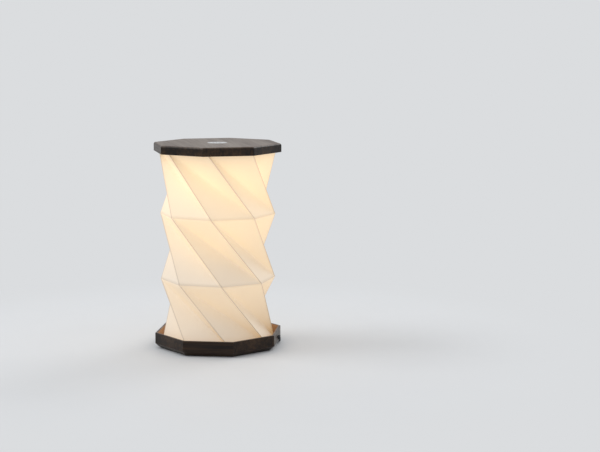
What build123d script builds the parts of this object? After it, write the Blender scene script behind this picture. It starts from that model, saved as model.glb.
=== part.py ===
from build123d import *

import os
from math import cos, radians, sin, tan

# Rechargeable accordion lamp, standing open and lit.
# A three-tier folded paper shade joins a shallow wooden tray to a wooden cap. The cap holds the
# light, the battery and the button. Pushed down, the cap turns and the shade folds flat in the tray.
# Millimetres, +Z up, origin on the floor under the middle of the tray, front towards -Y.
# The cap is drawn as it lies when shut, in line with the tray, and is turned to its open place last.

# Octagonal plates
sides = 8
flats = 125.0
wall = 2.5
corner_round = 1.2

# Tray
tray_height = 15.3
tray_floor = 4.2
tray_chamfer_in = 4.0
tray_chamfer_up = 4.0
rim_round = 0.7
foot_thickness = 1.5
foot_sunk = 0.5
foot_inset = 5.2

# Cap
open_height = 213.1
cap_height = 9.0
cap_recess = 3.0
cap_skin = 1.5
cap_top_round = 2.2
cap_base_round = 0.4
pocket_round = 6.0
rim_gap = 0.3

# Folded shade, its tiers from the tray up
shade_clearance = 0.6
shade_skin = 0.45
top_flare = 1.4
tier_shares = (0.327, 0.338, 0.335)
tier_turns = (54.3, 54.7, 50.7)
folded_turn = 90.0
paper = 0.35
tab_depth = 7.0
tab_side_gap = 0.6

# Clamp plates and their screws
clamp_inset = 2.9
clamp_thickness = 1.2
clamp_ring_width = 6.0
clamp_seat = 5.0
screw_count = 4
screw_edge = 3.3
screw_length = 5.0
screw_diameter = 2.0
screw_head = 3.8
screw_head_height = 1.0
screw_play = 0.05

# Light engine
board_rim = 3.0
board_thickness = 1.0
board_seat_width = 2.8
board_seat_height = 0.85
board_tail_width = 12.0
board_screw_edge = 1.4
board_screw_diameter = 1.2
board_screw_head = 2.2
board_screw_head_height = 0.7
led_count = 8
led_inset = 4.0
led_size = 3.0
led_height = 0.7
lens_diameter = 30.0
lens_lip = 2.0
lens_play = 0.1
chip_size = 4.0
chip_height = 0.9
chip_offset = 5.0
coil_size = 3.6
coil_height = 1.4
coil_edge = 4.0
capacitor_count = 4
capacitor_length = 2.0
capacitor_width = 1.0
capacitor_height = 0.8
capacitor_pitch = 3.0
part_round = 0.2

# Button and switch
button_diameter = 21.3
button_play = 0.2
button_sunk = 0.05
button_round = 0.3
flange_diameter = 24.5
flange_thickness = 0.6
flange_gap = 0.1
stem_diameter = 4.0
press_travel = 0.5
switch_size = 6.0
switch_height = 1.1
switch_round = 0.4
plunger_diameter = 3.0
plunger_play = 0.1
plunger_gap = 0.05

# Battery, its leads and the charging socket
cell_thickness = 4.0
cell_round = 1.2
cell_gap = 1.5
cell_side_gap = 4.5
cell_end_gap = 2.0
lead_diameter = 0.9
lead_pitch = 1.3
lead_bend = 1.8
plug_offset = (12.0, 13.6)
plug_length = 5.0
plug_width = 4.0
plug_height = 1.6
plug_round = 0.3
socket_width = 8.94
socket_height = 3.26
socket_length = 7.35
socket_wall = 0.3
socket_inset = 0.3
socket_play = 0.12
socket_lift = 0.1
mouth_depth = 1.0
tongue_width = 6.7
tongue_height = 0.7
tongue_length = 4.5

# Carrying strap
cord_diameter = 1.8
cord_hole = 2.4
cord_hole_pitch = 5.0
cord_hole_height = 9.0
cord_hole_middle = 3.5
bight_reach = 1.9
knot_drop = 2.5
knot_diameter = 3.4
knot_length = 4.2
knot_round = 0.8
loop_diameter = 6.0
sleeve_length = 14.0
sleeve_width = 14.0
sleeve_height = 7.4
sleeve_round = 1.0
sleeve_end = (27.5, 23.5)
strand_spacing = 6.7
floor_clearance = 0.05
# The thin cord's way: beyond the tray's side, back along it, and above the floor
cord_route = (
    (1.9, 9.5, 5.55),
    (2.0, 16.5, 3.0),
    (1.9, 25.5, 0.0),
    (-0.9, 35.5, 0.0),
    (-5.5, 49.0, 0.0),
    (-8.0, 66.0, 0.0),
    (-14.5, 83.0, 0.0),
    (-21.0, 87.6, 1.05),
)
cord_lead_in = 8.0
# The hand loop's way from the sleeve: along it and to its side
loop_route = (
    (13.0, 3.35),
    (36.0, 10.0),
    (59.0, 13.0),
    (72.5, 10.4),
    (79.4, -0.8),
    (73.2, -12.2),
    (60.0, -15.2),
    (36.0, -11.5),
    (13.0, -3.35),
)

# Worked out from the sizes above
half_flats = flats / 2
half_step = 180 / sides
step = 360 / sides
tray_base = foot_thickness - foot_sunk
tray_top = tray_base + tray_height
floor_z = tray_base + tray_floor
cap_base = open_height - cap_height
ceiling_z = cap_base + cap_recess
skin_z = open_height - cap_skin
closing_drop = cap_base - tray_top - rim_gap
ring_radius = half_flats - wall - shade_clearance
top_radius = ring_radius + top_flare
flat_share = cos(radians(half_step))
clamp_flats = 2 * (ring_radius * flat_share - clamp_inset)
screw_radius = clamp_flats / 2 / flat_share - screw_edge
pocket_flats = clamp_flats - 2 * clamp_seat
board_diameter = lens_diameter + 2 * (lens_lip + board_rim)
board_screw_radius = board_diameter / 2 - board_screw_edge
led_circle = lens_diameter / 2 - led_inset
cell_offset = board_diameter / 2 + cell_gap
cell_width = pocket_flats / 2 - cell_side_gap - cell_offset
cell_length = 2 * (pocket_flats / 2 * tan(radians(half_step)) + cell_side_gap - cell_end_gap)
shade_base = floor_z + paper
shade_top = ceiling_z - paper
cap_turn = len(tier_turns) * folded_turn - sum(tier_turns)
cover_z = shade_top - clamp_thickness
board_z = shade_top + board_seat_height
board_top = board_z + board_thickness
socket_z = board_z + socket_lift + socket_height / 2
loop_z = loop_diameter / 2 + floor_clearance
cord_z = cord_diameter / 2 + floor_clearance
sleeve_z = sleeve_height / 2 + floor_clearance


def octagon(across, corner=0.0):
    """Octagon with flats facing +X and +Y, its corners rounded."""
    outline = RegularPolygon(across / 2, sides, major_radius=False, rotation=half_step)
    return fillet(outline.vertices(), corner) if corner else outline


def slab(across, low, high, corner=0.0):
    return extrude(Plane.XY.offset(low) * octagon(across, corner), high - low)


def disc(diameter, low, high):
    return Pos(0, 0, low) * extrude(Circle(diameter / 2), high - low)


def block(x, y, low, length, width, height, corner=0.0):
    """Upright block on its middle, its upright edges rounded."""
    outline = RectangleRounded(length, width, corner) if corner else Rectangle(length, width)
    return Pos(x, y, low) * extrude(outline, height)


def around(radius, angle):
    return radius * cos(radians(angle)), radius * sin(radians(angle))


def tube(points, diameter, radii, name):
    """Round cord along straight runs joined by tangent arcs. Prints its tightest arc."""
    path = FilletPolyline(*points, radius=radii)
    section = Plane(origin=path @ 0, z_dir=path % 0) * Circle(diameter / 2)
    print(name, "length", round(path.length, 1), "radii", [round(r, 1) for r in radii])
    return sweep(section, path=path)


def free_radii(points):
    """Each arc as large as its two runs allow."""
    corners = [Vector(*p) for p in points]
    radii = []
    for before, corner, after in zip(corners, corners[1:], corners[2:]):
        turn = (corner - before).get_angle(after - corner)
        shorter = min((corner - before).length, (after - corner).length)
        radii.append(0.45 * shorter / tan(radians(turn / 2)))
    return radii


def screw(length, shank, head, head_height):
    """Countersunk screw pointing down from z = 0."""
    profile = Polyline(
        (0, 0),
        (head / 2, 0),
        (shank / 2, -head_height),
        (shank / 2, -length + shank / 2),
        (0, -length),
        close=True,
    )
    return revolve(Plane.XZ * make_face(profile), Axis.Z)


def clamp_screws(z, upside_down=False):
    turned = Rot(180, 0, 0) if upside_down else Rot(0, 0, 0)
    one = turned * screw(screw_length, screw_diameter, screw_head, screw_head_height)
    return [Pos(*around(screw_radius, angle), z) * one for angle in screw_angles()]


def screw_holes(z, upside_down=False):
    """What the clamp's screws sit in, a little larger all round."""
    turned = Rot(180, 0, 0) if upside_down else Rot(0, 0, 0)
    one = turned * screw(
        screw_length + screw_play,
        screw_diameter + 2 * screw_play,
        screw_head + 2 * screw_play,
        screw_head_height,
    )
    return [Pos(*around(screw_radius, angle), z) * one for angle in screw_angles()]


def screw_angles():
    """Screws sit at every second corner, between two paper tabs."""
    return [half_step + k * 360 / screw_count for k in range(screw_count)]


def rim_edges(part, z):
    return [e for e in part.edges() if abs(e.center().Z - z) < 0.01 and e.length > corner_round / 2]


# Tray and what is fixed in it


def cord_holes():
    drill = Pos(half_flats - wall * 1.5, 0, cord_hole_height) * Rot(0, 90, 0)
    bore = drill * extrude(Circle(cord_hole / 2), wall * 2)
    return [Pos(0, y, 0) * bore for y in cord_hole_places()]


def cord_hole_places():
    return [cord_hole_middle + side * cord_hole_pitch / 2 for side in (-1, 1)]


def make_tray():
    foot = Plane.XY.offset(tray_base) * octagon(flats - 2 * tray_chamfer_in, corner_round)
    shoulder = Plane.XY.offset(tray_base + tray_chamfer_up) * octagon(flats, corner_round)
    tray = loft([foot, shoulder], ruled=True)
    tray += slab(flats, tray_base + tray_chamfer_up, tray_top, corner_round)
    tray -= slab(flats - 2 * wall, floor_z, tray_top, corner_round)
    tray = fillet(rim_edges(tray, tray_top), rim_round)
    tray -= slab(flats - 2 * foot_inset, tray_base, foot_thickness, corner_round)
    for hole in cord_holes() + screw_holes(shade_base + clamp_thickness):
        tray -= hole
    return tray


def make_foot_pad():
    pad = slab(flats - 2 * foot_inset, 0, foot_thickness, corner_round)
    return fillet(pad.edges().group_by(Axis.Z)[0], foot_sunk / 2)


def make_clamp_ring():
    top = shade_base + clamp_thickness
    ring = slab(clamp_flats, shade_base, top, corner_round)
    ring -= slab(clamp_flats - 2 * clamp_ring_width, shade_base, top, corner_round)
    for hole in screw_holes(top):
        ring -= hole
    return ring


# Paper shade


def rings():
    """Height, turn and radius of each crease ring, from the tray up. The last is a little wider."""
    span = shade_top - shade_base
    height, turn = shade_base, half_step
    found = [(height, turn, ring_radius)]
    for share, tier_turn in zip(tier_shares, tier_turns):
        height += share * span
        turn -= tier_turn
        found.append((height, turn, ring_radius))
    found[-1] = (height, turn, top_radius)
    return found


def paper_panel(corners):
    """Closed triangular panel. Corners are (height, angle, radius), the upper ring's first.

    The two faces lie on rings of two radii. Each side is split from an outer upper corner to an
    inner lower one, so that neighbouring panels share the very same crease faces.
    """
    outer = [(*around(r, a), z) for z, a, r in corners]
    inner = [(*around(r - shade_skin, a), z) for z, a, r in corners]
    triangles = [outer, inner]
    for high, low in ((0, 1), (0, 2), (1, 2)):
        triangles.append([outer[high], outer[low], inner[low]])
        triangles.append([outer[high], inner[low], inner[high]])
    shell = Shell([Face(Wire.make_polygon(t)) for t in triangles])
    return Solid(shell)


def tier_panels(tier):
    """The panels that stand on the lower ring, and those that hang from the upper one."""
    (low_z, low_turn, low_radius), (high_z, high_turn, high_radius) = rings()[tier : tier + 2]
    standing, hanging = [], []
    for k in range(sides):
        upper = (high_z, high_turn + k * step, high_radius)
        upper_next = (high_z, high_turn + (k + 1) * step, high_radius)
        lower = (low_z, low_turn + k * step, low_radius)
        lower_next = (low_z, low_turn + (k + 1) * step, low_radius)
        standing.append(paper_panel([upper, lower, lower_next]))
        hanging.append(paper_panel([upper, upper_next, lower_next]))
    return standing, hanging


def paper_tabs(z, turn, radius):
    """Glue tabs folded inwards from one end ring, one to an edge."""
    ring_flat = radius * flat_share
    half_edge = radius * sin(radians(half_step)) - tab_side_gap
    outline = Polyline(
        (ring_flat, half_edge),
        (ring_flat, -half_edge),
        (ring_flat - tab_depth, tab_depth - half_edge),
        (ring_flat - tab_depth, half_edge - tab_depth),
        close=True,
    )
    one = extrude(make_face(outline), paper)
    return [Pos(0, 0, z) * Rot(0, 0, turn + half_step + k * step) * one for k in range(sides)]


# Cap, drawn in its shut direction


def socket_outline(width, height):
    return SlotOverall(width, height)


def make_cap_plate():
    cap = slab(flats, cap_base, open_height, corner_round)
    cap = fillet(rim_edges(cap, open_height), cap_top_round)
    cap -= slab(flats - 2 * wall, cap_base, ceiling_z, corner_round)
    cap = fillet(rim_edges(cap, cap_base), cap_base_round)
    cap -= slab(pocket_flats, ceiling_z, skin_z, pocket_round)
    cap -= disc(button_diameter + 2 * button_play, skin_z, open_height)
    channel_end = tail_end() + button_play
    channel_start = pocket_flats / 2 - wall
    channel_top = socket_z + socket_height / 2 + socket_play
    cap -= block(
        (channel_start + channel_end) / 2,
        0,
        ceiling_z,
        channel_end - channel_start,
        board_tail_width + 2 * button_play,
        channel_top - ceiling_z,
    )
    mouth = socket_outline(socket_width + 2 * socket_play, socket_height + 2 * socket_play)
    start = Pos(socket_end(), 0, socket_z) * Rot(0, 90, 0) * Rot(0, 0, 90)
    cap -= start * extrude(mouth, half_flats - socket_end() + wall)
    for hole in screw_holes(cover_z, upside_down=True):
        cap -= hole
    return cap


def make_cap_cover():
    cover = slab(clamp_flats, cover_z, shade_top, corner_round)
    seat = disc(board_diameter, shade_top, board_z)
    cover += seat - disc(board_diameter - 2 * board_seat_width, shade_top, board_z)
    cover -= disc(lens_diameter, cover_z, shade_top)
    cover -= disc(lens_diameter + 2 * lens_lip, cover_z + clamp_thickness / 2, shade_top)
    for hole in screw_holes(cover_z, upside_down=True) + board_screw_holes():
        cover -= hole
    return cover


def make_lens():
    middle = cover_z + clamp_thickness / 2
    lens = disc(lens_diameter - 2 * lens_play, cover_z, middle)
    return lens + disc(lens_diameter + 2 * lens_lip - 2 * lens_play, middle, shade_top)


def board_screw_places():
    return [around(board_screw_radius, angle) for angle in (90, 210, 330)]


def board_screws(play=0.0):
    length = board_thickness + board_seat_height
    one = disc(board_screw_head + 2 * play, 0, board_screw_head_height)
    one += disc(board_screw_diameter + 2 * play, -length, 0)
    return [Pos(x, y, board_top) * one for x, y in board_screw_places()]


def board_screw_holes():
    return board_screws(screw_play)


def socket_end():
    """Where the charging socket's back is, along X."""
    return half_flats - socket_inset - socket_length


def tail_end():
    """The board's tail reaches half way along the socket, which sits in its notch."""
    return socket_end() + socket_length / 2


def make_board():
    board = disc(board_diameter, board_z, board_top)
    board += block(tail_end() / 2, 0, board_z, tail_end(), board_tail_width, board_thickness)
    notch_start = socket_end() - socket_play
    notch = block(
        (notch_start + half_flats) / 2,
        0,
        board_z,
        half_flats - notch_start,
        socket_width + 2 * socket_play,
        board_thickness,
    )
    board -= notch
    for hole in board_screw_holes():
        board -= hole
    return board


def make_leds():
    places = [around(led_circle, k * 360 / led_count) for k in range(led_count)]
    return [block(x, y, board_z - led_height, led_size, led_size, led_height) for x, y in places]


def make_components():
    """A coil with a chip on each side, a chip and capacitors on the tail, and the cells' connectors."""
    coil_x = coil_edge - board_diameter / 2
    tail_middle = (board_diameter / 2 + socket_end()) / 2
    side_y = (board_tail_width - chip_size) / 2 - part_round
    parts = [block(coil_x, 0, board_top, coil_size, coil_size, coil_height, part_round)]
    for x, y in ((coil_x, chip_offset), (coil_x, -chip_offset), (tail_middle, -side_y)):
        parts.append(block(x, y, board_top, chip_size, chip_size, chip_height, part_round))
    for k in range(capacitor_count):
        x = tail_middle + (k - (capacitor_count - 1) / 2) * capacitor_pitch
        parts.append(block(x, side_y, board_top, capacitor_width, capacitor_length, capacitor_height))
    x, y = plug_offset
    for side in (-1, 1):
        parts.append(block(x, side * y, board_top, plug_length, plug_width, plug_height, plug_round))
    return parts


def make_switch():
    body = block(0, 0, board_top, switch_size, switch_size, switch_height, switch_round)
    bore = disc(plunger_diameter + 2 * plunger_play, board_top + plunger_gap, board_top + switch_height)
    return body - bore


def button_levels():
    """Underside of the button's flange and of its stem."""
    flange_base = skin_z - flange_gap - flange_thickness
    return flange_base, board_top + switch_height + press_travel + plunger_gap


def make_button():
    flange_base, stem_base = button_levels()
    top = disc(button_diameter, flange_base, open_height - button_sunk)
    top = fillet(top.edges().group_by(Axis.Z)[-1], button_round)
    stem = disc(stem_diameter, stem_base, flange_base)
    return top + disc(flange_diameter, flange_base, flange_base + flange_thickness) + stem


def make_plunger():
    low = board_top + plunger_gap + press_travel + plunger_gap
    return disc(plunger_diameter, low, button_levels()[1] - plunger_gap)


def cell_middle(side):
    return side * (cell_offset + cell_width / 2)


def make_cells():
    cells = []
    for side in (-1, 1):
        cell = block(0, cell_middle(side), shade_top, cell_length, cell_width, cell_thickness)
        cells.append(fillet(cell.edges().filter_by(Axis.X), cell_round))
    return cells


def make_leads():
    """Two wires from each cell's end round to its connector."""
    leads = []
    z = board_top + plug_height / 2
    for side in (-1, 1):
        plug_x, plug_y = plug_offset
        for k, start in enumerate((cell_offset + lead_pitch * 2, cell_offset + lead_pitch)):
            reach = cell_length / 2 + lead_bend + lead_diameter + (1 - k) * lead_pitch
            end = plug_y + (k - 0.5) * lead_pitch
            points = [
                (cell_length / 2, side * start, z),
                (reach, side * start, z),
                (reach, side * end, z),
                (plug_x + plug_length / 2, side * end, z),
            ]
            leads.append(tube(points, lead_diameter, [lead_bend] * 2, "battery lead"))
    return leads


def make_socket():
    """Hollow shell with its closed back and the contact tongue."""
    place = Pos(socket_end(), 0, socket_z) * Rot(0, 90, 0) * Rot(0, 0, 90)
    shell = place * extrude(socket_outline(socket_width, socket_height), socket_length)
    hollow = socket_outline(socket_width - 2 * socket_wall, socket_height - 2 * socket_wall)
    back = place * Pos(0, 0, socket_length - tongue_length - mouth_depth)
    shell -= back * extrude(hollow, socket_length)
    return shell + back * extrude(Rectangle(tongue_width, tongue_height), tongue_length)


# Strap


def knot_middle():
    return half_flats + bight_reach, cord_hole_middle, cord_hole_height - knot_drop


def bight_points():
    """From the knot through one hole, behind the wall and out of the other hole."""
    x, y, z = knot_middle()
    near, far = cord_hole_places()
    inside = half_flats - wall - bight_reach
    leg = knot_length / 4
    return [
        (x, y - leg, z + knot_diameter / 4),
        (x, near, cord_hole_height),
        (inside, near, cord_hole_height),
        (inside, far, cord_hole_height),
        (x, far, cord_hole_height),
        (x, y + leg, z + knot_diameter / 4),
    ]


def sleeve_place():
    """The end of the sleeve that the thin cord goes into, behind the tray."""
    return sleeve_end[0], half_flats + sleeve_end[1], sleeve_z


def cord_points():
    """Along the tray's side, down to the floor, round to the back and into the sleeve."""
    x, y, z = knot_middle()
    end_x, end_y, end_z = sleeve_place()
    way = [(half_flats + out, back, cord_z + up) for out, back, up in cord_route]
    lead_in = (end_x + cord_lead_in, end_y, end_z)
    return [(x, y + knot_length / 2, z)] + way + [lead_in, (end_x, end_y, end_z)]


def loop_points():
    """Hand loop from one side of the sleeve's end round to the other."""
    end_x, end_y, _ = sleeve_place()
    half = strand_spacing / 2
    way = [(0, half), *loop_route, (0, -half)]
    return [(end_x - sleeve_length - along, end_y + aside, loop_z) for along, aside in way]


def make_sleeve():
    outline = SlotOverall(sleeve_width, sleeve_height)
    lying = Pos(*sleeve_place()) * Rot(0, -90, 0) * Rot(0, 0, 90)
    sleeve = lying * extrude(outline, sleeve_length)
    ends = [e for e in sleeve.edges() if abs(e.center().X - sleeve_end[0]) < 0.01]
    return fillet(ends, sleeve_round)


def make_strap():
    bight = tube(bight_points(), cord_diameter, [cord_diameter] * 4, "strap bight")
    route = cord_points()
    cord = tube(route, cord_diameter, free_radii(route), "strap cord")
    route = loop_points()
    loop = tube(route, loop_diameter, free_radii(route), "strap loop")
    knot = Rot(90, 0, 0) * Cylinder(knot_diameter / 2, knot_length)
    knot = Pos(*knot_middle()) * fillet(knot.edges().filter_by(GeomType.CIRCLE), knot_round) - bight
    return {
        "strap_bight": bight,
        "strap_knot": knot,
        "strap_cord": cord,
        "strap_sleeve": make_sleeve(),
        "strap_loop": loop,
    }


def make_shade():
    """Six nodes, since the two halves of each tier move with different rings."""
    names = ("lower", "middle", "upper")
    shade = {}
    for tier, name in enumerate(names):
        standing, hanging = tier_panels(tier)
        shade[f"shade_{name}_standing"] = standing
        shade[f"shade_{name}_hanging"] = hanging
    return shade


def make_base():
    top = shade_base + clamp_thickness
    return {
        "base_tray": make_tray(),
        "foot_pad": make_foot_pad(),
        "base_clamp_ring": make_clamp_ring(),
        "base_clamp_screws": clamp_screws(top),
        "shade_bottom_tabs": paper_tabs(floor_z, half_step, ring_radius),
    }


def make_cap():
    """Every piece of the cap, still in its shut direction."""
    return {
        "cap_plate": make_cap_plate(),
        "cap_cover": make_cap_cover(),
        "cap_cover_screws": clamp_screws(cover_z, upside_down=True),
        "shade_top_tabs": paper_tabs(shade_top, rings()[-1][1] - cap_turn, top_radius),
        "lens": make_lens(),
        "circuit_board": make_board(),
        "board_screws": board_screws(),
        "led_chips": make_leds(),
        "board_components": make_components(),
        "tact_switch": make_switch(),
        "battery_cells": make_cells(),
        "battery_leads": make_leads(),
        "usb_socket": make_socket(),
        "button_cap": make_button(),
        "switch_plunger": make_plunger(),
    }


def main():
    nodes = {**make_base(), **make_shade(), **make_strap()}
    for name, shape in make_cap().items():
        pieces = shape if isinstance(shape, list) else [shape]
        nodes[name] = [Rot(0, 0, cap_turn) * piece for piece in pieces]
    os.makedirs("parts", exist_ok=True)
    for name, shape in nodes.items():
        pieces = shape if isinstance(shape, list) else [shape]
        node = Compound(children=pieces) if len(pieces) > 1 else pieces[0]
        export_step(node, f"parts/{name}.step")
    print("cap turns", round(cap_turn, 1), "drops", round(closing_drop, 2))
    print("rings", [tuple(round(value, 2) for value in ring) for ring in rings()])


main()
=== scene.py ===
import math

import bmesh
import bpy
from mathutils import Matrix, Vector, noise


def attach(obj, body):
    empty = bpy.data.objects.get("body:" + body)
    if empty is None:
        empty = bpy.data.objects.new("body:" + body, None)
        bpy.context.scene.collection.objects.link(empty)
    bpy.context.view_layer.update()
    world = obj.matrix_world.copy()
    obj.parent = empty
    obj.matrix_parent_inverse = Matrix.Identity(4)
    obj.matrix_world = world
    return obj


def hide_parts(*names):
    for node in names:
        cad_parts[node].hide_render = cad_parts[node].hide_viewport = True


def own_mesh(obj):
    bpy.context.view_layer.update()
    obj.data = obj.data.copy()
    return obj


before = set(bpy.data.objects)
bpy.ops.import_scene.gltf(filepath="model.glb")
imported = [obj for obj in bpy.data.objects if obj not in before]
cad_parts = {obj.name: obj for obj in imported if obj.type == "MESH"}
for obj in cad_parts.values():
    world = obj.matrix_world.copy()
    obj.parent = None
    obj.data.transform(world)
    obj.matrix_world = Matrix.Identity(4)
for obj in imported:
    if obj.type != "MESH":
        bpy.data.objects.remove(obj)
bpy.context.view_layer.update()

# Accordion lamp, open and lit: wooden tray and cap, folded paper shade, hand loop.
# The scene is in metres, in the CAD frame. Sizes are given in millimetres, those of the stage in metres.

mm = 0.001
capTurn = 110.3  # the open cap against the tray, in degrees
evenAt = (0.3, 0.7)  # values of a noise where a finish has its first and its last tone


def metres(*values):
    return Vector([value * mm for value in values])


def turned(degrees):
    return Matrix.Rotation(math.radians(degrees), 3, "Z")


# Camera

cameraSettings = {
    "place": (250.8, -1442.7, 329.7),
    "tilt": 82.06,
    "turn": 6.5,
    "lens": 84.8,
}


def addCamera():
    data = bpy.data.cameras.new("camera")
    data.lens = cameraSettings["lens"]
    camera = bpy.data.objects.new("camera", data)
    camera.location = metres(*cameraSettings["place"])
    camera.rotation_euler = [math.radians(a) for a in (cameraSettings["tilt"], 0, cameraSettings["turn"])]
    bpy.context.collection.objects.link(camera)
    bpy.context.scene.camera = camera


addCamera()
print("camera placed")


# Node helpers


def newMaterial(name):
    material = bpy.data.materials.new(name)
    material.use_nodes = True
    return material, material.node_tree, material.node_tree.nodes["Principled BSDF"]


def addNode(tree, kind, **settings):
    node = tree.nodes.new(kind)
    for key, value in settings.items():
        setattr(node, key, value)
    return node


def plug(tree, source, target):
    if isinstance(source, bpy.types.NodeSocket):
        tree.links.new(source, target)
    else:
        target.default_value = source


def pattern(tree, size, turn=0.0, shift=(0, 0, 0)):
    # object coordinates turned about Z, one unit to size millimetres along each axis
    mapping = addNode(tree, "ShaderNodeMapping", vector_type="TEXTURE")
    mapping.inputs["Location"].default_value = metres(*shift)
    mapping.inputs["Rotation"].default_value = (0, 0, math.radians(turn))
    mapping.inputs["Scale"].default_value = metres(*size)
    coords = addNode(tree, "ShaderNodeTexCoord")
    tree.links.new(coords.outputs["Object"], mapping.inputs["Vector"])
    return mapping.outputs["Vector"]


def cloudy(tree, size, turn=0.0, shift=(0, 0, 0), detail=2.0, roughness=0.5):
    # noise with patches of about size millimetres along each axis
    node = addNode(tree, "ShaderNodeTexNoise")
    node.inputs["Scale"].default_value = 1.0
    node.inputs["Detail"].default_value = detail
    node.inputs["Roughness"].default_value = roughness
    tree.links.new(pattern(tree, size, turn, shift), node.inputs["Vector"])
    return node.outputs["Fac"]


def calc(tree, operation, first, second=0.0, third=None, clamp=False):
    node = addNode(tree, "ShaderNodeMath", operation=operation, use_clamp=clamp)
    plug(tree, first, node.inputs[0])
    plug(tree, second, node.inputs[1])
    if third is not None:
        plug(tree, third, node.inputs[2])
    return node.outputs[0]


def weighted(tree, *shares, base=0.0):
    # base and each value times its share, added up
    total = base
    for value, share in shares:
        total = calc(tree, "MULTIPLY_ADD", value, share, total)
    return total


def ramp(tree, factor, places, tones):
    node = addNode(tree, "ShaderNodeValToRGB")
    elements = node.color_ramp.elements
    while len(elements) < len(places):
        elements.new(0.5)
    for element, place, tone in zip(elements, places, tones):
        element.position = place
        element.color = (*tone, 1) if isinstance(tone, tuple) else (tone, tone, tone, 1)
    plug(tree, factor, node.inputs["Fac"])
    return node.outputs["Color"]


def blendColours(tree, factor, first, second, mode="MIX"):
    node = addNode(tree, "ShaderNodeMix", data_type="RGBA", blend_type=mode)
    sockets = [s for s in node.inputs if s.type == "RGBA"]
    plug(tree, factor, node.inputs["Factor"])
    for value, socket in zip((first, second), sockets):
        plug(tree, (*value, 1) if isinstance(value, tuple) else value, socket)
    return [s for s in node.outputs if s.type == "RGBA"][0]


def relief(tree, shader, height, depth, strength):
    node = addNode(tree, "ShaderNodeBump")
    node.inputs["Strength"].default_value = strength
    node.inputs["Distance"].default_value = depth * mm
    tree.links.new(height, node.inputs["Height"])
    tree.links.new(node.outputs["Normal"], shader.inputs["Normal"])


def finish(shader, **values):
    names = {
        "metal": "Metallic",
        "roughness": "Roughness",
        "gloss": "Specular IOR Level",
        "coat": "Coat Weight",
        "coatRoughness": "Coat Roughness",
        "sheen": "Sheen Weight",
        "sheenRoughness": "Sheen Roughness",
        "sheenTint": "Sheen Tint",
        "glowStrength": "Emission Strength",
    }
    for key, value in values.items():
        shader.inputs[names[key]].default_value = (*value, 1) if isinstance(value, tuple) else value


# Wood

walnut = {
    "dark": (0.068, 0.043, 0.033),
    "middle": (0.112, 0.078, 0.060),
    "light": (0.165, 0.124, 0.093),
    "toneAt": (0.38, 0.50, 0.62),  # figure where the wood is dark, middle and light
    # painted shade: the upright sides and what lies below insideAbove are darkened by these, in place of the
    # dimmer light there
    "sideShadeDark": (0.075, 0.050, 0.026),
    "sideShadeLight": (0.28, 0.190, 0.105),
    "sideShadeAt": (0.43, 0.59),
    "sideShadeFlats": (122.8, 124.9),  # across flats, where the painted side shade starts and is full
    "inside": (0.42, 0.235, 0.12),  # bare wood in the tray, lightened and turned orange by the lamp's glow painted on it
    "insideFlats": 120.4,
    "insideAbove": 4.9,
    # patches along the grain, across it and upright
    "broad": (260, 17, 34),
    "streaks": (90, 2.3, 4.0),
    "fine": (40, 0.8, 1.2),
    "figureShares": (0.38, 0.38, 0.24),
    "streakDetail": 3.0,
    "streakRoughness": 0.55,
    "pores": (5.5, 0.55, 0.55),
    "pore": (0.026, 0.016, 0.012),
    "poreEdge": (0.10, 0.26),
    "poreShare": 0.55,
    "roughness": (0.46, 0.34),
    "roughnessAt": (0.35, 0.65),
    "fineRise": 0.5,
    "poreRise": -0.7,
    "relief": 0.05,
    "reliefStrength": 0.5,
}


def octagonReach(tree, coords, turn):
    # distance from the middle to the octagon's flats that pass through a point
    reach = None
    for flat in (0, 45, 90, 135):
        angle = math.radians(flat + turn)
        dot = addNode(tree, "ShaderNodeVectorMath", operation="DOT_PRODUCT")
        tree.links.new(coords, dot.inputs[0])
        dot.inputs[1].default_value = (math.cos(angle), math.sin(angle), 0)
        side = calc(tree, "ABSOLUTE", dot.outputs["Value"])
        reach = side if reach is None else calc(tree, "MAXIMUM", reach, side)
    return reach


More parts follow.
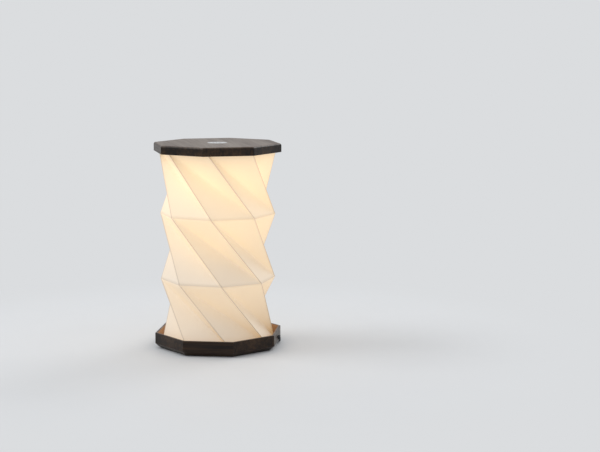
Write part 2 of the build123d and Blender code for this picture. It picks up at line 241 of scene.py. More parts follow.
def walnutMaterial(name, grainTurn, shift, bareAndLitInside=False):
    material, tree, shader = newMaterial(name)
    broad = cloudy(tree, walnut["broad"], grainTurn, shift)
    streaks = cloudy(
        tree, walnut["streaks"], grainTurn, shift, walnut["streakDetail"], walnut["streakRoughness"],
    )
    fine = cloudy(tree, walnut["fine"], grainTurn, shift)
    figure = weighted(tree, *zip((broad, streaks, fine), walnut["figureShares"]))
    wood = ramp(tree, figure, walnut["toneAt"], [walnut[tone] for tone in ("dark", "middle", "light")])
    cells = addNode(tree, "ShaderNodeTexVoronoi", feature="F1")
    cells.inputs["Scale"].default_value = 1.0
    tree.links.new(pattern(tree, walnut["pores"], grainTurn, shift), cells.inputs["Vector"])
    pore = ramp(tree, cells.outputs["Distance"], walnut["poreEdge"], (1.0, 0.0))
    wood = blendColours(tree, calc(tree, "MULTIPLY", pore, walnut["poreShare"]), wood, walnut["pore"])
    coords = addNode(tree, "ShaderNodeTexCoord").outputs["Object"]
    reach = octagonReach(tree, coords, grainTurn)
    split = addNode(tree, "ShaderNodeSeparateXYZ")
    tree.links.new(coords, split.inputs[0])
    above = calc(tree, "GREATER_THAN", split.outputs["Z"], walnut["insideAbove"] * mm)
    # painted shade: the upright sides and the wood below insideAbove are multiplied darker, fading in over
    # the rounded edge
    start, end = [across / 2 * mm for across in walnut["sideShadeFlats"]]
    edge = calc(tree, "DIVIDE", calc(tree, "SUBTRACT", reach, start), end - start, clamp=True)
    edge = calc(tree, "MAXIMUM", edge, calc(tree, "SUBTRACT", 1.0, above))
    side = ramp(tree, figure, walnut["sideShadeAt"], (walnut["sideShadeDark"], walnut["sideShadeLight"]))
    wood = blendColours(tree, edge, wood, side, "MULTIPLY")
    # bare wood inside the tray, with a painted glow from the lit shade
    if bareAndLitInside:
        within = calc(tree, "LESS_THAN", reach, walnut["insideFlats"] / 2 * mm)
        wood = blendColours(tree, calc(tree, "MULTIPLY", within, above), wood, walnut["inside"])
    tree.links.new(wood, shader.inputs["Base Color"])
    rough = ramp(tree, figure, walnut["roughnessAt"], walnut["roughness"])
    tree.links.new(rough, shader.inputs["Roughness"])
    height = weighted(tree, (fine, walnut["fineRise"]), (pore, walnut["poreRise"]))
    relief(tree, shader, height, walnut["relief"], walnut["reliefStrength"])
    finish(shader, gloss=0.24, sheen=0.10, sheenRoughness=0.3, sheenTint=(0.95, 0.80, 0.64))
    return material


# Paper

paper = {
    "base": (0.62, 0.605, 0.575),
    "shadow": (0.40, 0.37, 0.34),
    "glowAt": (0.0, 0.3, 0.6, 1.0),  # light that reaches the paper from inside
    "glow": ((0.02, 0.012, 0.005), (0.30, 0.185, 0.070), (0.60, 0.378, 0.137), (0.96, 0.63, 0.262)),
    # width and strength of the line along each kind of fold: creased paper, darkened further by painted shade
    "ridge": (1.4, 0.66),
    "ring": (0.5, 0.18),
    "valley": (0.5, 0.15),
    "creaseGain": 1.3,  # a crease's strength in the dark, and what full light takes from it
    "creaseFade": 0.75,
    "creaseDims": 0.75,  # share of the light that a full crease keeps back
    "creaseRise": 0.4,
    "fibres": (1.1, 1.1, 3.2),
    "fibreDetail": 4.0,
    "fibreRoughness": 0.65,
    "fibreShare": 0.10,
    "mottle": (9, 9, 9),
    "mottleShare": 0.06,
    "evenShare": 0.92,
    "relief": 0.12,
    "reliefStrength": 0.35,
}


def foldLine(tree, distance, width):
    # 1 on a fold, 0 beyond width millimetres from it
    return calc(tree, "SUBTRACT", 1.0, calc(tree, "DIVIDE", distance, width, clamp=True))


def paperMaterial():
    material, tree, shader = newMaterial("shadePaper")
    folds = addNode(tree, "ShaderNodeAttribute", attribute_name="foldDistance")
    split = addNode(tree, "ShaderNodeSeparateXYZ")
    tree.links.new(folds.outputs["Vector"], split.inputs[0])
    crease = 0.0
    for axis, fold in zip("XYZ", ("ridge", "ring", "valley")):
        width, strength = paper[fold]
        line = calc(tree, "MULTIPLY", foldLine(tree, split.outputs[axis], width), strength)
        crease = calc(tree, "MAXIMUM", crease, line)
    lit = addNode(tree, "ShaderNodeAttribute", attribute_name="glow").outputs["Fac"]
    standOut = weighted(tree, (lit, -paper["creaseFade"]), base=paper["creaseGain"])
    crease = calc(tree, "MULTIPLY", crease, standOut)
    fibres = cloudy(tree, paper["fibres"], detail=paper["fibreDetail"], roughness=paper["fibreRoughness"])
    mottle = cloudy(tree, paper["mottle"])
    texture = weighted(
        tree, (mottle, paper["mottleShare"]), (fibres, paper["fibreShare"]), base=paper["evenShare"],
    )
    lit = calc(tree, "MULTIPLY", lit, texture)
    lit = calc(tree, "MULTIPLY", lit, weighted(tree, (crease, -paper["creaseDims"]), base=1.0))
    tree.links.new(ramp(tree, lit, paper["glowAt"], paper["glow"]), shader.inputs["Emission Color"])
    # painted shade on the folds: the base colour runs to the shadow tone on each crease
    tree.links.new(blendColours(tree, crease, paper["base"], paper["shadow"]), shader.inputs["Base Color"])
    height = weighted(tree, (crease, paper["creaseRise"]), base=fibres)
    relief(tree, shader, height, paper["relief"], paper["reliefStrength"])
    finish(shader, glowStrength=1.0, roughness=0.85, gloss=0.25)
    return material


# Rubber, plastics, metals and the small inner finishes

moulded = {
    "patches": 14,  # times as large as the grain
    "toneAt": (0.35, 0.65),
    "roughnessSpread": (0.9, 1.1),
    "reliefStrength": 0.4,
}
metal = {
    "roughnessRise": 0.15,
    "relief": 0.01,
    "reliefStrength": 0.3,
}
lightSource = {
    "haze": (4, 4, 4),
    "glowAt": (0.2, 0.8),
}
braidedCord = {
    "fuzz": (0.5, 0.5, 0.5),
    "fuzzShare": 0.4,
    "braidShare": 0.6,
    "toneAt": (0.15, 0.85),
    "reliefStrength": 0.8,
}


def speckled(name, dark, light, size, roughness, depth=0.05, **values):
    # moulded finish with a fine even grain
    material, tree, shader = newMaterial(name)
    grain = cloudy(tree, (size,) * 3, detail=3.0)
    patches = cloudy(tree, (size * moulded["patches"],) * 3)
    tone = weighted(tree, (grain, 0.5), (patches, 0.5))
    tree.links.new(ramp(tree, tone, moulded["toneAt"], (dark, light)), shader.inputs["Base Color"])
    spread = [roughness * share for share in moulded["roughnessSpread"]]
    tree.links.new(ramp(tree, patches, evenAt, spread), shader.inputs["Roughness"])
    relief(tree, shader, grain, depth, moulded["reliefStrength"])
    finish(shader, **values)
    return material


def brushed(name, dark, light, size, roughness):
    material, tree, shader = newMaterial(name)
    lines = cloudy(tree, size, detail=3.0)
    tree.links.new(ramp(tree, lines, evenAt, (dark, light)), shader.inputs["Base Color"])
    spread = (roughness, roughness + metal["roughnessRise"])
    tree.links.new(ramp(tree, lines, evenAt, spread), shader.inputs["Roughness"])
    relief(tree, shader, lines, metal["relief"], metal["reliefStrength"])
    finish(shader, metal=1.0)
    return material


def glowing(name, colour, light, strength):
    material, tree, shader = newMaterial(name)
    haze = cloudy(tree, lightSource["haze"])
    tree.links.new(ramp(tree, haze, evenAt, (colour, light)), shader.inputs["Base Color"])
    glow = ramp(tree, haze, lightSource["glowAt"], (colour, light))
    tree.links.new(glow, shader.inputs["Emission Color"])
    finish(shader, glowStrength=strength, roughness=0.4)
    return material


def cordMaterial(name, dark, light, along, strands, depth):
    # braid of two crossing families of yarns, along times in the cord's length
    material, tree, shader = newMaterial(name)
    coords = addNode(tree, "ShaderNodeTexCoord")
    split = addNode(tree, "ShaderNodeSeparateXYZ")
    tree.links.new(coords.outputs["UV"], split.inputs[0])
    lengthwise = calc(tree, "MULTIPLY", split.outputs["X"], along * math.tau)
    around = calc(tree, "MULTIPLY", split.outputs["Y"], strands * math.tau)
    left = calc(tree, "SINE", calc(tree, "ADD", lengthwise, around))
    right = calc(tree, "SINE", calc(tree, "SUBTRACT", lengthwise, around))
    braid = calc(tree, "MAXIMUM", left, right)
    braid = calc(tree, "MULTIPLY_ADD", braid, 0.5, 0.5, clamp=True)
    fuzz = cloudy(tree, braidedCord["fuzz"])
    tone = weighted(tree, (braid, braidedCord["braidShare"]), (fuzz, braidedCord["fuzzShare"]))
    tree.links.new(ramp(tree, tone, braidedCord["toneAt"], (dark, light)), shader.inputs["Base Color"])
    relief(tree, shader, braid, depth, braidedCord["reliefStrength"])
    finish(shader, roughness=0.82, gloss=0.3, sheen=0.12, sheenRoughness=0.5)
    return material


finishes = {
    "walnut": walnutMaterial("walnutTray", 0.0, (40, 12, 3), bareAndLitInside=True),
    "walnutCap": walnutMaterial("walnutCap", capTurn, (-35, 27, 4)),
    "shade_paper": paperMaterial(),
    "tab_paper": speckled("tabPaper", (0.66, 0.63, 0.58), (0.74, 0.71, 0.66), size=1.2, roughness=0.85),
    "foot_rubber": speckled(
        "footRubber", (0.012, 0.012, 0.013), (0.022, 0.022, 0.023), size=0.6, roughness=0.75, depth=0.08,
    ),
    "white_plastic": speckled(
        "whitePlastic", (0.70, 0.69, 0.66), (0.76, 0.75, 0.72), size=0.5, roughness=0.5,
    ),
    "screw_steel": brushed(
        "screwSteel", (0.42, 0.42, 0.43), (0.62, 0.62, 0.63), size=(0.3, 0.3, 2.0), roughness=0.3,
    ),
    "sleeve_rubber": speckled(
        "sleeveRubber", (0.016, 0.017, 0.017), (0.028, 0.029, 0.029), size=0.4, roughness=0.62,
    ),
    "thin_cord": cordMaterial(
        "thinCord", (0.009, 0.009, 0.010), (0.030, 0.031, 0.033), along=70, strands=4, depth=0.12,
    ),
    "loop_cord": cordMaterial(
        "loopCord", (0.018, 0.021, 0.020), (0.050, 0.055, 0.053), along=62, strands=8, depth=0.3,
    ),
    "opal_lens": glowing("opalLens", (0.80, 0.72, 0.58), (0.86, 0.80, 0.68), strength=0.6),
    "circuit_board": speckled(
        "circuitBoard", (0.60, 0.62, 0.60), (0.70, 0.72, 0.70), size=1.5, roughness=0.45, depth=0.03,
    ),
    "led_emitter": glowing("ledEmitter", (1.0, 0.62, 0.26), (1.0, 0.80, 0.46), strength=2.0),
    "black_chips": speckled(
        "blackChips", (0.014, 0.014, 0.015), (0.026, 0.026, 0.028), size=0.3, roughness=0.5, depth=0.03,
    ),
    "battery_foil": brushed(
        "batteryFoil", (0.50, 0.51, 0.52), (0.66, 0.67, 0.68), size=(12, 1.2, 1.2), roughness=0.35,
    ),
    "lead_insulation": speckled(
        "leadInsulation", (0.30, 0.016, 0.012), (0.42, 0.03, 0.02), size=1.0, roughness=0.45, depth=0.02,
    ),
    "socket_steel": brushed(
        "socketSteel", (0.52, 0.52, 0.53), (0.70, 0.70, 0.71), size=(3, 0.4, 0.4), roughness=0.25,
    ),
    "button_gloss": speckled(
        "buttonGloss", (0.004, 0.004, 0.005), (0.007, 0.007, 0.008), size=2.0, roughness=0.12,
        depth=0.004, gloss=0.6, coat=1.0, coatRoughness=0.04,
    ),
}
nodeFinishes = {
    "base_tray": "walnut",
    "cap_plate": "walnutCap",
    "foot_pad": "foot_rubber",
    "base_clamp_ring": "white_plastic",
    "cap_cover": "white_plastic",
    "base_clamp_screws": "screw_steel",
    "cap_cover_screws": "screw_steel",
    "board_screws": "screw_steel",
    "shade_bottom_tabs": "tab_paper",
    "shade_top_tabs": "tab_paper",
    "lens": "opal_lens",
    "circuit_board": "circuit_board",
    "led_chips": "led_emitter",
    "board_components": "black_chips",
    "tact_switch": "black_chips",
    "switch_plunger": "black_chips",
    "battery_cells": "battery_foil",
    "battery_leads": "lead_insulation",
    "usb_socket": "socket_steel",
    "button_cap": "button_gloss",
}


def dressNodes():
    for name, finishName in nodeFinishes.items():
        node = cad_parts[name]
        node.data.materials.clear()
        node.data.materials.append(finishes[finishName])


dressNodes()
print("finishes made and CAD nodes dressed")


def settle(piece, body, replaced=()):
    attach(piece, body)
    if replaced:
        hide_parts(*replaced)
    return piece


def addPiece(name, bm, body, material, replaced=()):
    mesh = bpy.data.meshes.new(name)
    bm.to_mesh(mesh)
    bm.free()
    mesh.materials.append(material)
    piece = bpy.data.objects.new(name, mesh)
    bpy.context.collection.objects.link(piece)
    return settle(piece, body, replaced)


# Strap: bight through the tray's wall, knot, thin cord, sleeve and hand loop

strap = {
    "thin": 1.8,
    "thick": 6.0,
    "thinLength": 102.4,
    "loopLength": 172.2,
    "bight": [
        (63.9, 2.45, 8.3), (64.0, 1.0, 9.0), (61.5, 1.0, 9.0), (58.1, 1.0, 9.0),
        (58.1, 6.0, 9.0), (61.5, 6.0, 9.0), (64.0, 6.0, 9.0), (63.9, 4.55, 8.3),
    ],
    "thinRoute": [
        (63.8, 5.4, 7.8), (63.6, 9.2, 7.0), (63.3, 14.0, 3.4), (62.2, 20.0, 0.95), (61.4, 29.5, 0.95),
        (60.0, 38.0, 0.95), (57.0, 49.0, 0.95), (54.5, 66.0, 0.95), (48.0, 83.0, 0.95), (41.5, 87.6, 2.0),
        (35.5, 86.0, 3.75), (27.5, 86.0, 3.75),
    ],
    "loopRoute": [
        (13.5, 89.35, 3.05), (0.5, 89.35, 3.05), (-22.5, 96.0, 3.05), (-45.5, 99.0, 3.05),
        (-59.0, 96.4, 3.05), (-65.9, 85.2, 3.05), (-59.7, 73.8, 3.05), (-46.5, 70.8, 3.05),
        (-22.5, 74.5, 3.05), (0.5, 82.65, 3.05), (13.5, 82.65, 3.05),
    ],
    "knotMiddle": (63.9, 3.5, 8.3),
    "knotSize": (0.7125, 0.66, 0.55),  # outwards, along the wall and up
    "knotPoints": 24,
    "knotCord": 1.35,
    "roundSteps": 5,
    "lengthSteps": 18,
}


def layCord(name, route, diameter, slotName, node, closed=False):
    curve = bpy.data.curves.new(name, "CURVE")
    curve.dimensions = "3D"
    curve.bevel_depth = diameter / 2 * mm
    curve.bevel_resolution = strap["roundSteps"]
    curve.resolution_u = strap["lengthSteps"]
    curve.use_fill_caps = not closed
    spline = curve.splines.new("NURBS")
    spline.points.add(len(route) - 1)
    for point, place in zip(spline.points, route):
        point.co = (*metres(*place), 1)
    spline.order_u = 3
    spline.use_cyclic_u = closed
    spline.use_endpoint_u = not closed
    curve.materials.append(finishes[slotName])
    cord = bpy.data.objects.new(name, curve)
    bpy.context.collection.objects.link(cord)
    return settle(cord, "base", [node])


def knotRoute():
    # overhand knot: a trefoil beside the tray's wall, pulled tight
    route = []
    for step in range(strap["knotPoints"]):
        t = step / strap["knotPoints"] * math.tau
        trefoil = (-math.sin(3 * t), math.sin(t) + 2 * math.sin(2 * t), math.cos(t) - 2 * math.cos(2 * t))
        placed = zip(strap["knotMiddle"], trefoil, strap["knotSize"])
        route.append([middle + way * size for middle, way, size in placed])
    return route


sleeveSettings = {
    "end": (27.5, 86.0, 3.75),
    "width": 14.0,
    "height": 7.4,
    "segments": 40,
    # place along the sleeve and how far its skin is pulled in there
    "profile": [
        (0.0, 1.1), (0.3, 0.5), (0.9, 0.12), (1.6, 0.0), (4.3, 0.0), (4.6, 0.35), (5.0, 0.35), (5.3, 0.0),
        (8.7, 0.0), (9.0, 0.35), (9.4, 0.35), (9.7, 0.0), (13.2, 0.0), (13.7, 0.15), (14.0, 0.4),
    ],
}


def addSleeve():
    # moulded ferrule, lofted along X from one flat-sided oval, with two crimp grooves
    endX, endY, endZ = sleeveSettings["end"]
    radius = sleeveSettings["height"] / 2
    straight = (sleeveSettings["width"] - sleeveSettings["height"]) / 2
    bm = bmesh.new()
    layers = []
    for place, pulled in sleeveSettings["profile"]:
        circle = bmesh.ops.create_circle(
            bm, cap_ends=False, segments=sleeveSettings["segments"], radius=(radius - pulled) * mm,
        )
        ring = circle["verts"]
        for vert in ring:
            side = 1 if vert.co.y > 0 else -1
            across, upward = vert.co.y + side * straight * mm, vert.co.x
            vert.co = ((endX - place) * mm, endY * mm + across, endZ * mm + upward)
        layers.append([edge for edge in bm.edges if all(v in ring for v in edge.verts)])
    for before, after in zip(layers, layers[1:]):
        bmesh.ops.bridge_loops(bm, edges=before + after)
    for end in (layers[0], layers[-1]):
        bmesh.ops.holes_fill(bm, edges=end, sides=0)
    bmesh.ops.recalc_face_normals(bm, faces=bm.faces[:])
    for face in bm.faces:
        face.smooth = len(face.verts) == 4
    return addPiece("strapSleeve", bm, "base", finishes["sleeve_rubber"], ["strap_sleeve"])


def addStrap():
    bight = layCord("strapBight", strap["bight"], strap["thin"], "thin_cord", "strap_bight")
    knot = layCord("strapKnot", knotRoute(), strap["knotCord"], "thin_cord", "strap_knot", closed=True)
    sleeve = addSleeve()
    thin = layCord("strapCord", strap["thinRoute"], strap["thin"], "thin_cord", "strap_cord")
    loop = layCord("strapLoop", strap["loopRoute"], strap["thick"], "loop_cord", "strap_loop")


addStrap()
print("strap laid")


# Folded paper shade, one piece to a tier

shade = {
    "base": 5.55,
    "top": 206.75,
    "firstCorner": 22.5,
    "radii": (60.5, 59.9, 60.2, 61.8),  # of the rings from the tray up to the cap
    "thickness": 0.35,
    "folded": 4.567,
    "clampRoom": 1.3,  # left free for each clamp plate when folded
    "cuts": 21,
    "onFold": 0.05,  # a point as near as this lies on the fold
    "buckle": 0.35,
    "buckleLength": 26.0,
    "buckleFade": 6.0,  # buckles die down this near to a fold
    "valleyRound": 2.0,  # paper this near a valley is rounded
    "valleyPasses": 2,
    "valleyPull": 0.5,
    "valleySoft": 3.0,  # light of both panels runs together this near
    # share of the height, turn, clamp plates at the lower and upper end, flat size and what holds the paper
    "tiers": [
        {
            "name": "Lower", "body": "base", "joint": "shade_fold", "share": 0.327, "turn": 54.3,
            "clamps": (1, 0), "flat": (368.6, 78.0), "heldBy": ["base_clamp_ring"],
        },
        {
            "name": "Middle", "body": "lower_ring", "joint": "middle_tier_fold", "share": 0.338, "turn": 54.7,
            "clamps": (0, 0), "flat": (367.7, 80.0), "heldBy": ["shadeLowerTier", "shadeUpperTier"],
        },
        {
            "name": "Upper", "body": "middle_ring", "joint": "upper_tier_fold", "share": 0.335, "turn": 48.4,
            "clamps": (0, 1), "flat": (373.5, 76.6), "heldBy": ["cap_cover"],
        },
    ],
}
lampLight = {
    "height": 205.5,
    "radius": 13.0,
    "samples": 8,
    "direct": 0.34,
    "directFull": 1.35e-4,
    "spreadLow": 0.215,
    "spreadHigh": 0.375,
    # standing panels take more bounced light, most at their tips; heights are shares of the shade's
    "standing": 0.03,
    "standingTip": 0.12,
    "standingTipFrom": 0.45,
    "standingEnd": 0.85,
    "standingFade": 0.3,
    "unevenness": 0.05,
    "patchesPerMetre": 22.0,
}


def directLight(point, normal):
    # from the lens in the cap straight on the paper's inner face
    direct = 0.0
    for sample in range(lampLight["samples"]):
        angle = sample / lampLight["samples"] * math.tau
        source = Vector((
            lampLight["radius"] * math.cos(angle), lampLight["radius"] * math.sin(angle), lampLight["height"],
        ))
        ray = point / mm - source
        reach = ray.length
        leaving = max(0.0, -ray.z / reach)
        landing = max(0.0, normal.dot(ray) / reach)
        direct += leaving * landing / reach ** 2
    direct /= lampLight["samples"]
    return lampLight["direct"] * math.sqrt(direct / lampLight["directFull"])


def paperLight(point, normal, tierHeight):
    # direct and bounced light on the paper, a little uneven
    height = (point.z / mm - shade["base"]) / (shade["top"] - shade["base"])
    spread = lampLight["spreadLow"] + (lampLight["spreadHigh"] - lampLight["spreadLow"]) * height
    if normal.z > 0:
        tip = tierHeight * min(1.0, height / lampLight["standingTipFrom"])
        fade = min(1.0, max(0.0, (lampLight["standingEnd"] - height) / lampLight["standingFade"]))
        spread += (lampLight["standing"] + lampLight["standingTip"] * tip) * fade
    uneven = noise.noise(point * lampLight["patchesPerMetre"]) * lampLight["unevenness"]
    return spread + directLight(point, normal) + uneven


def lineDistance(point, start, end):
    along = (end - start).normalized()
    return (point - start - along * (point - start).dot(along)).length


def foldTier(lowZ, highZ, lowTurn, turn, lowRadius, highRadius):
    # an octagon raised, turned and folded along the long diagonal of each side
    bm = bmesh.new()
    ring = bmesh.ops.create_circle(bm, cap_ends=False, segments=8, radius=lowRadius * mm)["verts"]
    bmesh.ops.rotate(bm, verts=ring, cent=(0, 0, 0), matrix=turned(lowTurn))
    bmesh.ops.translate(bm, verts=ring, vec=(0, 0, lowZ * mm))
    raised = bmesh.ops.extrude_edge_only(bm, edges=bm.edges[:])["geom"]
    upper = [item for item in raised if isinstance(item, bmesh.types.BMVert)]
    bmesh.ops.translate(bm, verts=upper, vec=(0, 0, (highZ - lowZ) * mm))
    bmesh.ops.rotate(bm, verts=upper, cent=(0, 0, 0), matrix=turned(-turn))
    widening = highRadius / lowRadius
    bmesh.ops.scale(bm, verts=upper, vec=(widening, widening, 1))
    for face in bm.faces[:]:
        pairs = [(face.verts[0], face.verts[2]), (face.verts[1], face.verts[3])]
        first, second = max(pairs, key=lambda pair: (pair[0].co - pair[1].co).length)
        bmesh.utils.face_split(face, first, second)
    bmesh.ops.recalc_face_normals(bm, faces=bm.faces[:])
    outwards = sum(face.normal.dot(face.calc_center_median() * Vector((1, 1, 0))) for face in bm.faces)
    if outwards < 0:
        bmesh.ops.reverse_faces(bm, faces=bm.faces[:])
    return bm


def panelOf(face):
    # the three folds round a panel, ridge, ring and valley, and the panel across the valley
    ring = min(face.edges, key=lambda edge: abs(edge.verts[0].co.z - edge.verts[1].co.z))
    slanted = [edge for edge in face.edges if edge != ring]
    ridge, valley = sorted(slanted, key=lambda edge: edge.calc_length())
    across = next(other for other in valley.link_faces if other != face)
    return {
        "folds": [(edge.verts[0].co.copy(), edge.verts[1].co.copy()) for edge in (ridge, ring, valley)],
        "normal": face.normal.copy(),
        "across": across.index,
    }


def panelLight(point, panel, facing, tierHeight):
    # near a valley the light of its two panels runs together, half and half on the fold
    own = paperLight(point, panel["normal"], tierHeight)
    near = max(0.0, 1.0 - lineDistance(point, *panel["folds"][2]) / (shade["valleySoft"] * mm))
    share = near * near * (3 - 2 * near) / 2
    return own + (paperLight(point, facing["normal"], tierHeight) - own) * share


def bucklePaper(bm, panels, panelLayer):
    # small buckles between the folds, and rounded valleys
    buckled, rounded = [], []
    for vert in bm.verts:
        panel = panels[vert.link_faces[0][panelLayer]]
        ridgeAway, ringAway, valleyAway = [lineDistance(vert.co, *fold) / mm for fold in panel["folds"]]
        clear = min(ridgeAway, ringAway, valleyAway)
        if clear > shade["onFold"]:
            push = noise.noise(vert.co / (shade["buckleLength"] * mm)) * shade["buckle"] * mm
            buckled.append((vert, panel["normal"] * push * min(1.0, clear / shade["buckleFade"])))
        if valleyAway < shade["valleyRound"] and min(ridgeAway, ringAway) > shade["onFold"]:
            rounded.append(vert)
    for vert, push in buckled:
        vert.co += push
    for _ in range(shade["valleyPasses"]):
        bmesh.ops.smooth_vert(
            bm, verts=rounded, factor=shade["valleyPull"], use_axis_x=True, use_axis_y=True, use_axis_z=True,
        )


def creasePaper(bm, panels, panelLayer):
    # every fold is sharp but the valleys
    for face in bm.faces:
        face.smooth = True
    for edge in bm.edges:
        touching = {face[panelLayer] for face in edge.link_faces}
        edge.smooth = len(touching) < 2 or all(panels[index]["across"] in touching for index in touching)


def lightPaper(bm, panels, panelLayer, lowZ, highZ):
    # light and distance to the folds, kept in the mesh for the material
    glowLayer = bm.loops.layers.float.new("glow")
    foldLayer = bm.loops.layers.float_vector.new("foldDistance")
    for face in bm.faces:
        panel = panels[face[panelLayer]]
        facing = panels[panel["across"]]
        for loop in face.loops:
            point = loop.vert.co
            loop[glowLayer] = panelLight(point, panel, facing, (point.z / mm - lowZ) / (highZ - lowZ))
            loop[foldLayer] = [lineDistance(point, *fold) / mm for fold in panel["folds"]]


def addTier(tier, lowZ, highZ, lowTurn, lowRadius, highRadius):
    bm = foldTier(lowZ, highZ, lowTurn, tier["turn"], lowRadius, highRadius)
    bm.faces.index_update()
    panelLayer = bm.faces.layers.int.new("panel")
    panels = []
    for face in bm.faces:
        face[panelLayer] = face.index
        panels.append(panelOf(face))
    bmesh.ops.subdivide_edges(bm, edges=bm.edges[:], cuts=shade["cuts"], use_grid_fill=True)
    bmesh.ops.triangulate(bm, faces=[face for face in bm.faces if len(face.verts) > 3])
    bucklePaper(bm, panels, panelLayer)
    creasePaper(bm, panels, panelLayer)
    bmesh.ops.solidify(bm, geom=bm.faces[:], thickness=shade["thickness"] * mm)
    lightPaper(bm, panels, panelLayer, lowZ, highZ)
    bmesh.ops.triangulate(bm, faces=bm.faces[:])
    name = tier["name"]
    replaced = [f"shade_{name.lower()}_{half}" for half in ("standing", "hanging")]
    piece = addPiece(
        f"shade{name}Tier", bm, tier["body"], finishes["shade_paper"], replaced,
    )
    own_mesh(piece)


def addShade():
    height, corner = shade["base"], shade["firstCorner"]
    for tier, lowRadius, highRadius in zip(shade["tiers"], shade["radii"], shade["radii"][1:]):
        top = height + tier["share"] * (shade["top"] - shade["base"])
        addTier(tier, height, top, corner, lowRadius, highRadius)
        height = top
        corner -= tier["turn"]


addShade()
print("shade folded")


# Power sign on the button

sign = {
    "dark": (0.15, 0.11, 0.085),
    "light": (0.20, 0.15, 0.12),
    "radius": 4.2,
    "line": 0.85,
    "gap": 76.0,
    "steps": 48,
    "barFrom": 0.6,
    "barTo": 5.3,
    "low": 213.04,
    "high": 213.075,
}


def addSign():
    bm = bmesh.new()
    half, low, high = sign["line"] / 2 * mm, sign["low"] * mm, sign["high"] * mm
    section = [
        bm.verts.new((sign["radius"] * mm + side * half, 0, z))
        for side, z in ((-1, low), (1, low), (1, high), (-1, high))
    ]
    face = bm.faces.new(section)
    bmesh.ops.rotate(bm, verts=bm.verts[:], cent=(0, 0, 0), matrix=turned(sign["gap"] / 2))
    bmesh.ops.spin(
        bm, geom=[face], cent=(0, 0, 0), axis=(0, 0, 1), angle=math.radians(360 - sign["gap"]),
        steps=sign["steps"], use_duplicate=False,
    )
    bar = bmesh.ops.create_cube(bm, size=1.0)["verts"]
    length = (sign["barTo"] - sign["barFrom"]) * mm
    bmesh.ops.scale(bm, verts=bar, vec=(length, 2 * half, high - low))
    middle = (sign["barTo"] + sign["barFrom"]) / 2 * mm
    bmesh.ops.translate(bm, verts=bar, vec=(middle, 0, (high + low) / 2))
    bmesh.ops.rotate(bm, verts=bm.verts[:], cent=(0, 0, 0), matrix=turned(capTurn))
    bmesh.ops.recalc_face_normals(bm, faces=bm.faces[:])
    ink = speckled(
        "signBronze", sign["dark"], sign["light"], size=0.5, roughness=0.4, depth=0.004, coat=0.6,
    )
    addPiece("powerSign", bm, "button", ink)


addSign()
print("power sign set in the button")


# Floor, background and lights

stageSettings = {
    "floor": (0.70, 0.705, 0.715),
    "floorDark": 0.99,  # darkest patches of the floor against its colour
    "mottle": (60, 60, 60),  # in millimetres
    "background": (0.708, 0.722, 0.738),
    "nearEdge": 0.22,  # the floor fades into the background between these
    "farEdge": 0.42,
    "radius": 6.0,
    "worldColour": (0.97, 0.985, 1.0),
    "worldStrength": 0.75,
}
lamps = [
    # name, place, aim, size, power, colour
    ("keyLamp", (-1.7, -0.2, 1.7), (0, 0, 0.1), 1.4, 18.0, (0.94, 0.975, 1.0)),
    ("backLamp", (1.1, 1.5, 1.3), (0, 0, 0.1), 1.2, 11.0, (0.97, 0.985, 1.0)),
]


def seenRays(tree):
    # 1 for the rays that show the background: camera, gloss and glass
    path = addNode(tree, "ShaderNodeLightPath")
    seen = calc(tree, "MAXIMUM", path.outputs["Is Camera Ray"], path.outputs["Is Glossy Ray"])
    return calc(tree, "MAXIMUM", seen, path.outputs["Is Transmission Ray"])


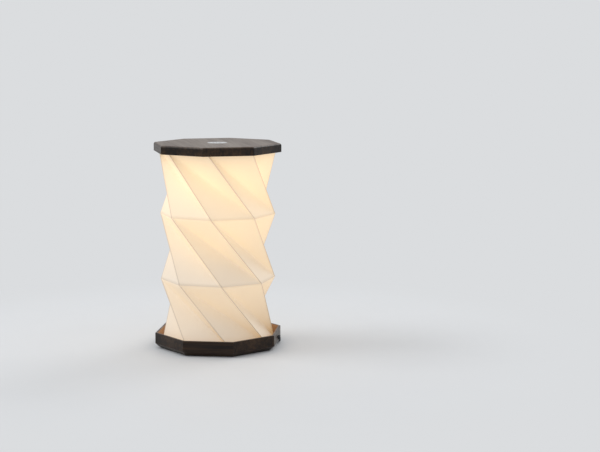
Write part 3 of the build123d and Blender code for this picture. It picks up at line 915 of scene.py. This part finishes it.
def floorMaterial():
    material, tree, shader = newMaterial("paleFloor")
    coords = addNode(tree, "ShaderNodeTexCoord")
    distance = addNode(tree, "ShaderNodeVectorMath", operation="LENGTH")
    tree.links.new(coords.outputs["Object"], distance.inputs[0])
    away = addNode(tree, "ShaderNodeMapRange", interpolation_type="SMOOTHSTEP")
    away.inputs["From Min"].default_value = stageSettings["nearEdge"]
    away.inputs["From Max"].default_value = stageSettings["farEdge"]
    tree.links.new(distance.outputs["Value"], away.inputs["Value"])
    pale = stageSettings["floor"]
    dark = tuple(c * stageSettings["floorDark"] for c in pale)
    tone = ramp(tree, cloudy(tree, stageSettings["mottle"]), evenAt, (dark, pale))
    tree.links.new(tone, shader.inputs["Base Color"])
    finish(shader, roughness=0.6, gloss=0.3)
    backdrop = addNode(tree, "ShaderNodeEmission")
    backdrop.inputs["Color"].default_value = (*stageSettings["background"], 1)
    blend = addNode(tree, "ShaderNodeMixShader")
    tree.links.new(calc(tree, "MULTIPLY", away.outputs["Result"], seenRays(tree)), blend.inputs["Fac"])
    tree.links.new(shader.outputs["BSDF"], blend.inputs[1])
    tree.links.new(backdrop.outputs["Emission"], blend.inputs[2])
    tree.links.new(blend.outputs["Shader"], tree.nodes["Material Output"].inputs["Surface"])
    return material


def addFloor():
    bm = bmesh.new()
    bmesh.ops.create_circle(bm, cap_ends=True, segments=96, radius=stageSettings["radius"])
    mesh = bpy.data.meshes.new("floor")
    bm.to_mesh(mesh)
    bm.free()
    mesh.materials.append(floorMaterial())
    floor = bpy.data.objects.new("floor", mesh)
    bpy.context.collection.objects.link(floor)


def addWorld():
    world = bpy.data.worlds.new("studio")
    world.use_nodes = True
    tree = world.node_tree
    tree.nodes.clear()
    output = addNode(tree, "ShaderNodeOutputWorld")
    soft = addNode(tree, "ShaderNodeBackground")
    soft.inputs["Color"].default_value = (*stageSettings["worldColour"], 1)
    soft.inputs["Strength"].default_value = stageSettings["worldStrength"]
    shown = addNode(tree, "ShaderNodeBackground")
    shown.inputs["Color"].default_value = (*stageSettings["background"], 1)
    blend = addNode(tree, "ShaderNodeMixShader")
    tree.links.new(seenRays(tree), blend.inputs["Fac"])
    tree.links.new(soft.outputs["Background"], blend.inputs[1])
    tree.links.new(shown.outputs["Background"], blend.inputs[2])
    tree.links.new(blend.outputs["Shader"], output.inputs["Surface"])
    bpy.context.scene.world = world


def addLamps():
    for name, place, aim, size, power, colour in lamps:
        data = bpy.data.lights.new(name, "AREA")
        data.shape = "DISK"
        data.size = size
        data.energy = power
        data.color = colour
        lamp = bpy.data.objects.new(name, data)
        lamp.location = place
        direction = Vector(aim) - Vector(place)
        lamp.rotation_euler = direction.to_track_quat("-Z", "Y").to_euler()
        bpy.context.collection.objects.link(lamp)


addFloor()
addWorld()
addLamps()
bpy.context.scene.view_settings.view_transform = "Standard"
print("floor, background and lamps set")
